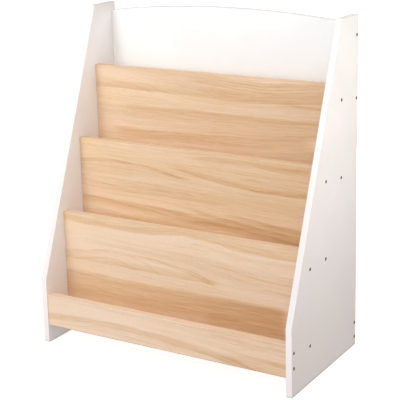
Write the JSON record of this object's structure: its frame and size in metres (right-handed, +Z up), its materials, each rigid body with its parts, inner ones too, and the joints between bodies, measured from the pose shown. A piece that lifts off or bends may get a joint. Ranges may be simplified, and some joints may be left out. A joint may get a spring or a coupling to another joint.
{
  "type": "kids bookcase",
  "caption": "Free-standing children's bookcase: sloped white side panels, an arched white header and stepped upright wood-grain boards with pockets that show books face out.",
  "frame": {"origin": "centre of the footprint, on the floor that the side panels stand on", "axes": "+X across the bookcase to the right of someone facing its front, front towards -Y, rear face towards +Y, +Z up"},
  "size_m": [0.68, 0.342, 0.8],
  "materials": {
    "white_laminate": "satin white melamine on particle board",
    "oak_laminate": "satin light oak grain melamine on particle board, grain running across",
    "screw_steel": "dark plated steel",
    "dowel_beech": "raw beech"
  },
  "bodies": {
    "root": {"left_side_panel": "white_laminate", "right_side_panel": "white_laminate", "header_panel": "white_laminate", "top_display_board": "oak_laminate", "middle_display_board": "oak_laminate", "lower_display_board": "oak_laminate", "front_lip_board": "oak_laminate", "rear_stretcher": "white_laminate", "top_pocket_floor": "oak_laminate", "second_pocket_floor": "oak_laminate", "third_pocket_floor": "oak_laminate", "front_pocket_floor": "oak_laminate", "header_screws": "screw_steel", "top_board_screws": "screw_steel", "middle_board_screws": "screw_steel", "lower_board_screws": "screw_steel", "front_lip_screws": "screw_steel", "rear_stretcher_screws": "screw_steel", "top_floor_screws": "screw_steel", "second_floor_screws": "screw_steel", "third_floor_screws": "screw_steel", "front_floor_screws": "screw_steel", "top_floor_dowels": "dowel_beech", "second_floor_dowels": "dowel_beech", "third_floor_dowels": "dowel_beech", "front_floor_dowels": "dowel_beech"}
  },
  "joints": []
}
